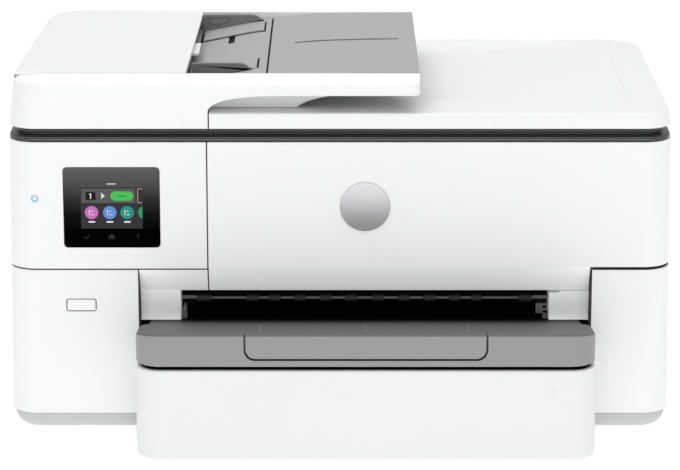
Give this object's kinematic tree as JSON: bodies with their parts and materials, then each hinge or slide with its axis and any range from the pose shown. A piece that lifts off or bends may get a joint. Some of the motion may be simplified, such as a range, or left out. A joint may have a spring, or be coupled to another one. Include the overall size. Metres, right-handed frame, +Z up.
{
  "type": "inkjet printer",
  "caption": "Wide-format inkjet printer and flatbed scanner with a document feeder, front paper tray with output tray on top, touch display and ink door.",
  "frame": {"origin": "on the table, below the middle of the bounding box", "axes": "+X to the right seen from the front, +Y towards the back, +Z up"},
  "size_m": [0.585, 0.4079, 0.3274],
  "materials": {
    "white_shell": "satin white moulded plastic",
    "light_grey": "light cool grey moulded plastic",
    "tray_grey": "mid grey moulded plastic",
    "feeder_grey": "warm mid grey, finely textured",
    "dark_grey": "dark grey moulded plastic",
    "black_plastic": "black moulded plastic",
    "steel": "plated sheet steel",
    "rubber": "matte rubber",
    "clear_glass": "clear float glass",
    "screen_glass": "black cover glass",
    "badge_metal": "satin chrome",
    "foam_white": "white foam backing",
    "board_green": "green circuit board",
    "lamp_blue": "translucent light pipe",
    "cyan_label": "cyan cartridge",
    "magenta_label": "magenta cartridge",
    "yellow_label": "yellow cartridge"
  },
  "bodies": {
    "printer_body": {"base_frame": "light_grey", "foot_front_left": "rubber", "foot_front_right": "rubber", "foot_back_left": "rubber", "foot_back_right": "rubber", "lower_case": "white_shell", "upper_case": "white_shell", "front_frame": "light_grey", "display_glass": "screen_glass", "status_lamp": "lamp_blue", "power_supply": "black_plastic", "main_board": "board_green", "scanner_bed": "dark_grey", "scanner_glass": "clear_glass", "feeder_glass": "clear_glass", "scan_rod": "steel", "lid_hinge_left": "steel", "lid_hinge_right": "steel", "tray_rails": "steel", "mech_chassis": "steel", "carriage_rod": "steel", "carriage_motor": "steel", "carriage_belt": "rubber", "feed_motor": "steel", "platen": "black_plastic", "star_wheel_bar": "black_plastic", "rear_paper_guide": "black_plastic", "service_station": "dark_grey"},
    "ink_door": {"ink_door": "white_shell", "door_lip": "light_grey", "badge": "badge_metal"},
    "lid": {"lid_plate": "white_shell", "lid_pad": "foam_white", "feeder_body": "white_shell", "feeder_deck": "feeder_grey"},
    "feeder_cover": {"feeder_cover": "white_shell"},
    "input_tray": {"input_tray": "feeder_grey"},
    "paper_guide_front": {"paper_guide_front": "dark_grey"},
    "paper_guide_back": {"paper_guide_back": "dark_grey"},
    "pick_roller": {"pick_roller": "rubber"},
    "draw_roller": {"draw_roller": "rubber"},
    "scan_bar": {"scan_bar": "black_plastic"},
    "paper_tray": {"paper_tray": "white_shell", "output_tray": "tray_grey"},
    "tray_extension": {"tray_extension": "tray_grey"},
    "width_guide_left": {"width_guide_left": "dark_grey"},
    "width_guide_right": {"width_guide_right": "dark_grey"},
    "length_guide": {"length_guide": "dark_grey"},
    "power_button": {"power_button": "white_shell"},
    "carriage": {"carriage": "black_plastic", "cartridge_black": "black_plastic", "cartridge_cyan": "cyan_label", "cartridge_magenta": "magenta_label", "cartridge_yellow": "yellow_label"},
    "drive_pulley": {"drive_pulley": "steel"},
    "idler_pulley": {"idler_pulley": "steel"},
    "eject_shaft": {"eject_shaft": "rubber"},
    "feed_roller": {"feed_roller": "rubber"},
    "pickup_roller": {"pickup_roller": "rubber"},
    "rear_door": {"rear_door": "white_shell"}
  },
  "joints": [
    {"name": "lid_hinge", "type": "hinge", "parent": "printer_body", "child": "lid", "pos_m": [0, 0.201, 0.2815], "axis": [-1, 0, 0], "range_deg": [0, 60]},
    {"name": "feeder_cover_hinge", "type": "hinge", "parent": "lid", "child": "feeder_cover", "pos_m": [-0.2799, 0.032, 0.3236], "axis": [0, -1, 0], "range_deg": [0, 65]},
    {"name": "input_tray_hinge", "type": "hinge", "parent": "lid", "child": "input_tray", "pos_m": [-0.0632, 0.032, 0.3216], "axis": [0, -1, 0], "range_deg": [0, 45]},
    {"name": "guide_back_slide", "type": "slide", "parent": "lid", "child": "paper_guide_back", "axis": [0, -1, 0], "range_m": [0, 0.06]},
    {"name": "guide_front_slide", "type": "slide", "parent": "lid", "child": "paper_guide_front", "axis": [0, 1, 0], "range_m": [0, 0.06]},
    {"name": "pick_roller_spin", "type": "hinge", "parent": "lid", "child": "pick_roller", "pos_m": [-0.152, 0.032, 0.31], "axis": [0, 1, 0], "continuous": true},
    {"name": "draw_roller_spin", "type": "hinge", "parent": "lid", "child": "draw_roller", "pos_m": [-0.186, 0.032, 0.308], "axis": [0, 1, 0], "continuous": true},
    {"name": "scan_bar_slide", "type": "slide", "parent": "printer_body", "child": "scan_bar", "axis": [1, 0, 0], "range_m": [0, 0.35]},
    {"name": "ink_door_hinge", "type": "hinge", "parent": "printer_body", "child": "ink_door", "pos_m": [0, -0.1268, 0.1574], "axis": [1, 0, 0], "range_deg": [0, 85]},
    {"name": "paper_tray_slide", "type": "slide", "parent": "printer_body", "child": "paper_tray", "axis": [0, -1, 0], "range_m": [0, 0.23]},
    {"name": "tray_extension_slide", "type": "slide", "parent": "paper_tray", "child": "tray_extension", "axis": [0, -1, 0], "range_m": [0, 0.1]},
    {"name": "width_guide_right_slide", "type": "slide", "parent": "paper_tray", "child": "width_guide_right", "axis": [-1, 0, 0], "range_m": [0, 0.09]},
    {"name": "width_guide_left_slide", "type": "slide", "parent": "paper_tray", "child": "width_guide_left", "axis": [1, 0, 0], "range_m": [0, 0.09]},
    {"name": "length_guide_slide", "type": "slide", "parent": "paper_tray", "child": "length_guide", "axis": [0, 1, 0], "range_m": [0, 0.15]},
    {"name": "power_button_press", "type": "slide", "parent": "printer_body", "child": "power_button", "axis": [0, 1, 0], "range_m": [0, 0.0015], "stiffness_N_per_m": 400},
    {"name": "carriage_slide", "type": "slide", "parent": "printer_body", "child": "carriage", "axis": [-1, 0, 0], "range_m": [0, 0.4]},
    {"name": "drive_pulley_spin", "type": "hinge", "parent": "printer_body", "child": "drive_pulley", "pos_m": [-0.25, 0.012, 0.185], "axis": [0, 1, 0], "continuous": true},
    {"name": "idler_pulley_spin", "type": "hinge", "parent": "printer_body", "child": "idler_pulley", "pos_m": [0.262, 0.012, 0.185], "axis": [0, 1, 0], "continuous": true},
    {"name": "feed_roller_spin", "type": "hinge", "parent": "printer_body", "child": "feed_roller", "pos_m": [0, -0.024, 0.114], "axis": [1, 0, 0], "continuous": true},
    {"name": "eject_shaft_spin", "type": "hinge", "parent": "printer_body", "child": "eject_shaft", "pos_m": [0, -0.098, 0.1196], "axis": [1, 0, 0], "continuous": true},
    {"name": "pickup_roller_spin", "type": "hinge", "parent": "printer_body", "child": "pickup_roller", "pos_m": [0.022, 0.104, 0.076], "axis": [1, 0, 0], "continuous": true},
    {"name": "rear_door_hinge", "type": "hinge", "parent": "printer_body", "child": "rear_door", "pos_m": [0.02, 0.2, 0.0415], "axis": [-1, 0, 0], "range_deg": [0, 80]}
  ],
  "couplings": [
    {"joint": "guide_front_slide", "follows": "guide_back_slide", "ratio": 1},
    {"joint": "draw_roller_spin", "follows": "pick_roller_spin", "ratio": 1.1538},
    {"joint": "width_guide_left_slide", "follows": "width_guide_right_slide", "ratio": 1},
    {"joint": "drive_pulley_spin", "follows": "carriage_slide", "rad_per_m": 126.58},
    {"joint": "idler_pulley_spin", "follows": "carriage_slide", "rad_per_m": 126.58},
    {"joint": "eject_shaft_spin", "follows": "feed_roller_spin", "ratio": 1.3462},
    {"joint": "pickup_roller_spin", "follows": "feed_roller_spin", "ratio": 0.5833}
  ]
}
